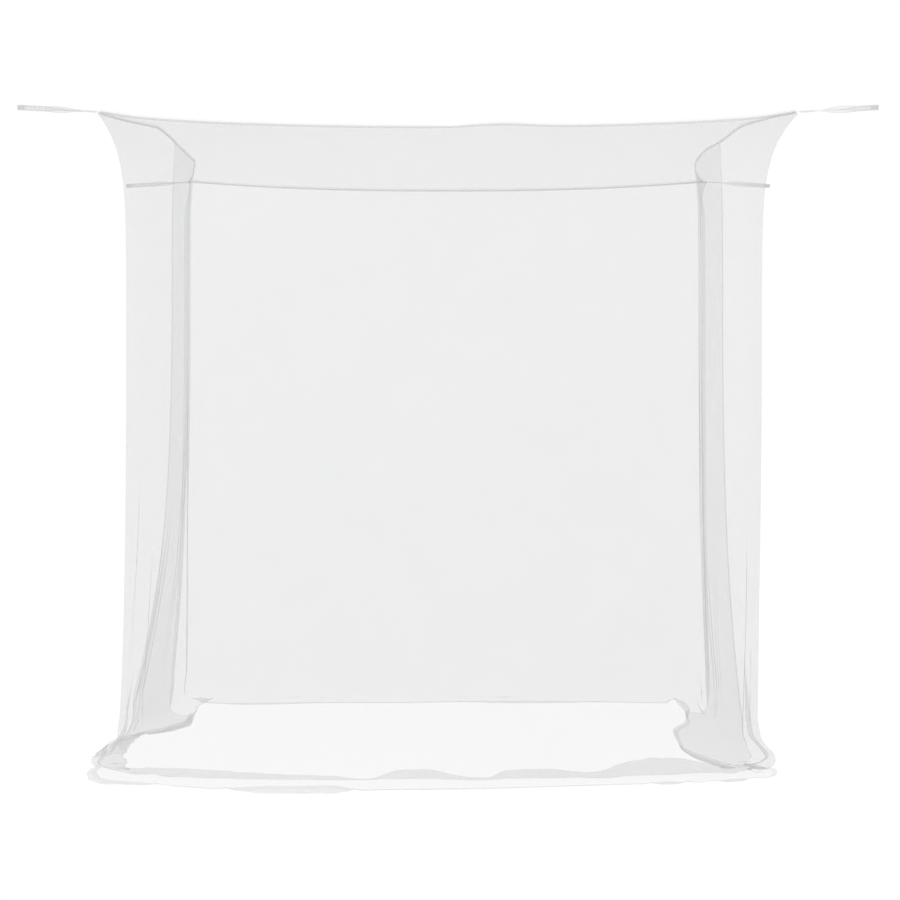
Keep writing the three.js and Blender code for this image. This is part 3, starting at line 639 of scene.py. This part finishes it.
# One length of wall round the corners at two turns, with a free hem at each end and at its foot. Where
# the two lengths overlap, the front one lies outside and the back one inside.
def wallSheet(name, corners, beyond, outside, ease):
    turns = wallTurns(corners[0] - beyond, corners[1] + beyond)
    overlap = smooth(np.maximum(corners[0] - turns, turns - corners[1]) / ease)
    grid = wallPoints(turns, overlap)
    edge = roofEdge(turns)
    drop = edge[:, 2:] - grid[:, :, 2]
    near = np.exp(-drop / wall["relax"])
    way = 1 if outside else -1
    apart = mix(wall["hungGap"] / 2, 0 if outside else wall["seamGap"], near) * way
    grid = grid + gridNormals(grid) * (overlap[:, None] * apart)[..., None]
    across = np.broadcast_to(stepLengths(edge, 0)[:, None], grid.shape[:2])
    down = stepLengths(grid, 1)
    fromSide = np.minimum(across, across[-1:] - across)
    fromFoot = down[:, -1:] - down

    heap = through(foot, "turn", "heap", np.mod(turns, 4), 4)[:, None]
    loose = smooth((ripples["below"] - grid[:, :, 2]) / ripples["fade"]) * (ripples["calm"] + heap)
    rippled = rippleHeight(across, down) * ripples["height"] * loose * smooth(fromFoot / ripples["flatHem"])
    curl = wall["frontCurl"] if outside else -wall["backCurl"]
    curled = curl * smooth(1 - fromSide / wall["curlWidth"]) * smooth(drop / wall["curlBelow"])
    curled = curled * smooth(grid[:, :, 2] / wall["curlEnds"])
    grid = grid + gridNormals(grid) * (rippled + curled)[..., None]
    grid[..., 2] = np.maximum(grid[..., 2], wall["thickness"] / 2)
    grid[..., 2] += wall["hemLift"] * smooth(1 - fromFoot / wall["hemWidth"])

    nearest = np.minimum(fromSide, fromFoot)
    alongEdge = np.where(fromSide < fromFoot, down, across)
    lying = smooth((wall["lyingBelow"] - grid[:, :, 2]) / wall["lyingFade"])
    values = np.stack([nearest, alongEdge, lying], -1).reshape(-1, 3)
    uv = np.stack([across, -down], -1).reshape(-1, 2)
    piece = newPiece(name, grid.reshape(-1, 3), gridFaces(*grid.shape[:2]), uv, {"edge": values})
    piece.data.materials.append(finishes["netting"])
    shadeSmooth(piece, 180)
    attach(piece, "root")
    size = (float(across[-1, 0]), float(down[:, -1].mean()))
    print(name, "columns and rows", grid.shape[:2], "cut to", [round(x, 3) for x in size])
    return piece, size


frontLength, frontSize = wallSheet("front_length", (4, 5), wall["frontHem"], True, wall["frontEase"])
backLength, backSize = wallSheet("back_length", (2, 3), 1 - wall["backHem"], False, wall["backEase"])


# The roof: one rectangle of netting, drawn out to its corners and hanging between its edges
def roofSheet():
    rightwards, backwards = np.linspace(0, 1, roof["columns"]), np.linspace(0, 1, roof["rows"])
    front, right, back, left = [roofEdge(np.clip(turns, 0, 4 - 1e-7)) for turns in
                                (rightwards, 1 + backwards, 3 - rightwards, 4 - backwards)]
    across, along = rightwards[:, None, None], backwards[None, :, None]
    between = mix(front[:, None], back[:, None], along)
    corners = mix(mix(front[0], front[-1], across), mix(back[0], back[-1], across), along)
    grid = between + mix(left[None], right[None], across) - corners
    nearLeft, nearRight = [(share ** roof["sideHold"])[:, None] for share in (1 - rightwards, rightwards)]
    sideDrop = ((left[:, 2] - roof["cornerHeight"])[None] * nearLeft
                + (right[:, 2] - roof["cornerHeight"])[None] * nearRight)
    middle = 4 * across * (1 - across) * 6.75 * along * (1 - along) ** 2  # 1 a third of the way back
    grid[..., 2] = between[..., 2] + sideDrop - roof["middleSag"] * middle[..., 0]
    grid[..., :2] *= 1 - roof["inset"] / roof["halfDepth"]
    fromLeft, fromFront = stepLengths(grid, 0), stepLengths(grid, 1)
    values = np.stack([np.full_like(fromLeft, netting["noHem"]), fromLeft, np.zeros_like(fromFront)], -1)
    uv = np.stack([fromLeft, fromFront], -1).reshape(-1, 2)
    faces = gridFaces(roof["columns"], roof["rows"])[:, ::-1]
    piece = newPiece("roof_sheet", grid.reshape(-1, 3), faces, uv, {"edge": values.reshape(-1, 3)})
    piece.data.materials.append(finishes["netting"])
    shadeSmooth(piece, 180)
    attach(piece, "root")
    print("roof made")
    return piece, (roof["cutWidth"], roof["cutDepth"])


roofCloth, roofSize = roofSheet()


# Bindings on the four roof seams, each a folded strip that stands up from the seam as a fin
bindingForm = dict(above=0.012, below=0.002, thickness=0.003, cornerGap=0.012, steps=180, wave=0.0012,
                   waveEach=0.17, waveSlow=0.57, flat=0.55, flatAt=0.505, flatWidth=0.03)

# Its section, from the outside of its foot over the top and down the inside: shares of half the
# thickness outwards, and of the height above or below the seam
bindingSection = [
    (0.5, -1.0), (1.0, -0.5), (0.95, 0.25), (0.45, 0.45), (0.28, 0.75), (0.12, 0.98),
    (-0.12, 0.98), (-0.28, 0.75), (-0.45, 0.45), (-0.95, 0.25), (-1.0, -0.5), (-0.5, -1.0),
]


# Fills a tube's open ends
def closeEnds(piece):
    selectOnly(piece)
    bpy.ops.object.mode_set(mode="EDIT")
    bpy.ops.mesh.select_all(action="DESELECT")
    bpy.ops.mesh.select_mode(type="EDGE")
    bpy.ops.mesh.select_non_manifold(extend=False)
    bpy.ops.mesh.edge_face_add()
    bpy.ops.object.mode_set(mode="OBJECT")


# Turns a closed piece's faces outwards
def turnOutwards(piece):
    selectOnly(piece)
    bpy.ops.object.mode_set(mode="EDIT")
    bpy.ops.mesh.select_all(action="SELECT")
    bpy.ops.mesh.normals_make_consistent(inside=False)
    bpy.ops.object.mode_set(mode="OBJECT")


def bindingPiece(name, side):
    count, gap = bindingForm["steps"], bindingForm["cornerGap"]
    line = roofEdge(np.linspace(side, side + 1 - 1e-9, 2 * count))
    length = stepLengths(line, 0)
    keep = np.linspace(gap, length[-1] - gap, count)
    line = np.stack([np.interp(keep, length, line[:, k]) for k in range(3)], -1)
    alongWay = np.gradient(line[:, :2], axis=0)
    out = unit(np.stack([alongWay[:, 1], -alongWay[:, 0]], -1))
    share = np.linspace(0, 1, count)
    fallen = 0
    if side == 0:  # the front fin lies down for a short stretch near the middle
        away = (share - bindingForm["flatAt"]) / bindingForm["flatWidth"]
        fallen = bindingForm["flat"] * np.exp(-away ** 2)
    waving = (np.sin(2 * math.pi * keep / bindingForm["waveEach"] + side)
              * np.sin(2 * math.pi * keep / bindingForm["waveSlow"] + 2 * side))
    points, places = [], []
    for aside, rise in bindingSection:
        raised = max(rise, 0)
        up = rise * bindingForm["above" if rise > 0 else "below"]
        outPlace = aside * bindingForm["thickness"] / 2 + bindingForm["wave"] * raised * waving
        upPlace = np.full(count, up) * (1 - fallen * raised)
        points.append(line + np.concatenate([out * outPlace[:, None], upPlace[:, None]], -1))
        places.append(np.stack([keep, np.full(count, up)], -1))
    grid, uv = np.stack(points, 1), np.stack(places, 1)
    ring = len(bindingSection)
    faces = [[i * ring + k, i * ring + (k + 1) % ring, (i + 1) * ring + (k + 1) % ring, (i + 1) * ring + k]
             for i in range(count - 1) for k in range(ring)]
    piece = newPiece(f"{name}_strip", grid.reshape(-1, 3), np.array(faces), uv.reshape(-1, 2))
    piece.data.materials.append(finishes["binding"])
    closeEnds(piece)
    turnOutwards(piece)
    shadeSmooth(piece, 60)
    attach(piece, "root")
    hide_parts(name)


for side, name in enumerate(("front", "right", "back", "left")):
    bindingPiece(f"binding_{name}", side)
print("bindings made")


# Hanging loops of doubled tape, which leave the roof flat and turn on edge towards an open eye
loopForm = dict(width=0.014, thickness=0.0012, rootGap=0.0026, root=0.0015, eyeGap=0.0172, eyeFrom=0.23,
                eyeShare=0.42, shoulder=0.009, neck=0.004, neckSide=0.0074, tipSide=0.004,
                twistFrom=0.12, twistShare=0.66, steps=60)
loopEnds = [
    dict(name="loop_front_left", turn=0, tip=(-1.214, -1.030, 1.992)),
    dict(name="loop_front_right", turn=1, tip=(1.214, -1.030, 1.992)),
    dict(name="loop_back_right", turn=2, tip=(1.284, 1.030, 1.992)),
    dict(name="loop_back_left", turn=3, tip=(-1.284, 1.030, 1.992)),
]


def loopPiece(name, turn, tip):
    corner = roofEdge(np.array([float(turn)]))[0]
    out = unit(np.array(tip) - corner)
    root = corner + out * loopForm["root"]
    length = np.linalg.norm(np.array(tip) - root)
    level = unit(np.cross((0, 0, 1), out))
    upright = np.cross(out, level)
    place = np.linspace(0, length - loopForm["shoulder"], loopForm["steps"])
    opening = smooth((place / length - loopForm["eyeFrom"]) / loopForm["eyeShare"])
    strand = np.stack([place, mix(loopForm["rootGap"], loopForm["eyeGap"], opening) / 2], -1)
    end = np.array([[length - loopForm["neck"], loopForm["neckSide"]],
                    [length - loopForm["thickness"] / 2, loopForm["tipSide"]]])
    oneSide = np.concatenate([strand, end])
    line = np.concatenate([oneSide, (oneSide * [1, -1])[::-1]])
    enter, leave = unit(line - np.roll(line, 1, 0)), unit(np.roll(line, -1, 0) - line)
    along = unit(enter + leave)
    mitre = loopForm["thickness"] / 2 / np.sum(along * leave, -1)
    twist = math.pi / 2 * (1 - smooth((line[:, 0] / length - loopForm["twistFrom"]) / loopForm["twistShare"]))
    width = upright * np.cos(twist)[:, None] + level * np.sin(twist)[:, None]
    face = np.cross(out, width)
    points = []
    for thick, wide in ((1, 1), (1, -1), (-1, -1), (-1, 1)):
        outPlace = line[:, 0] - along[:, 1] * mitre * thick
        sidePlace = line[:, 1] + along[:, 0] * mitre * thick
        points.append(root + out * outPlace[:, None] + face * sidePlace[:, None]
                      + width * wide * loopForm["width"] / 2)
    grid = np.stack(points, 1)
    count = len(line)
    faces = [[i * 4 + k, ((i + 1) % count) * 4 + k, ((i + 1) % count) * 4 + (k + 1) % 4, i * 4 + (k + 1) % 4]
             for i in range(count) for k in range(4)]
    lengthAlong = np.concatenate([[0], np.cumsum(np.linalg.norm(np.diff(line, axis=0), axis=1))])
    acrossTape = np.array([1, -1, -1, 1]) * loopForm["width"] / 2
    uv = np.stack(np.broadcast_arrays(lengthAlong[:, None], acrossTape[None, :]), -1)
    fromEnd = np.repeat(length - line[:, 0], 4)
    values = np.stack([fromEnd, np.zeros_like(fromEnd), np.zeros_like(fromEnd)], -1)
    piece = newPiece(f"{name}_tape", grid.reshape(-1, 3), np.array(faces), uv.reshape(-1, 2),
                     {"edge": values})
    piece.data.materials.append(finishes["tape"])
    turnOutwards(piece)
    shadeSmooth(piece, 40)
    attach(piece, "root")
    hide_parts(name)
    return piece


loops = [loopPiece(**entry) for entry in loopEnds]
print("loops made")

for piece, node, size in ((frontLength, "front_wall", frontSize), (backLength, "back_wall", backSize),
                          (roofCloth, "roof_panel", roofSize)):
    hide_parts(node)


# Floor and light: a white studio sweep, lit evenly, so that the net shows against plain white
studio = dict(floorSize=80, floorAt=-0.0005, floorColour="#d9dadb", floorSeen=1.02, skySeen=1.02,
              skyLight=0.50, keyAt=(-3.2, -4.6, 4.6), keySize=3.5, keyPower=75)


def studioLight():
    bpy.ops.object.select_all(action="DESELECT")
    bpy.ops.mesh.primitive_plane_add(size=studio["floorSize"], location=(0, 0, studio["floorAt"]))
    floor = bpy.context.object
    floor.name = "floor"
    material, tree, output = newMaterial("white studio floor")
    path = addNode(tree, "ShaderNodeLightPath")
    bright = addNode(tree, "ShaderNodeEmission", {
        "Color": linear("#ffffff"), "Strength": studio["floorSeen"]})
    plain = addNode(tree, "ShaderNodeBsdfDiffuse", {"Color": linear(studio["floorColour"])})
    seen = addNode(tree, "ShaderNodeMixShader", {
        0: path.outputs["Is Camera Ray"], 1: plain.outputs[0], 2: bright.outputs[0]})
    tree.links.new(seen.outputs[0], output.inputs["Surface"])
    floor.data.materials.append(material)

    world = bpy.data.worlds.new("studio")
    scene.world = world
    world.use_nodes = True
    tree = world.node_tree
    tree.nodes.clear()
    path = addNode(tree, "ShaderNodeLightPath")
    strength = addNode(tree, "ShaderNodeMapRange", {
        "Value": path.outputs["Is Camera Ray"], "To Min": studio["skyLight"], "To Max": studio["skySeen"]})
    sky = addNode(tree, "ShaderNodeBackground", {
        "Color": linear("#ffffff"), "Strength": strength.outputs["Result"]})
    output = addNode(tree, "ShaderNodeOutputWorld")
    tree.links.new(sky.outputs[0], output.inputs["Surface"])

    lamp = bpy.data.lights.new("softbox", "AREA")
    lamp.shape, lamp.size, lamp.energy = "DISK", studio["keySize"], studio["keyPower"]
    key = bpy.data.objects.new("softbox", lamp)
    key.location = studio["keyAt"]
    key.rotation_euler = (Vector((0, 0, 1)) - Vector(studio["keyAt"])).to_track_quat("-Z", "Y").to_euler()
    scene.collection.objects.link(key)


studioLight()
print("floor and light made")
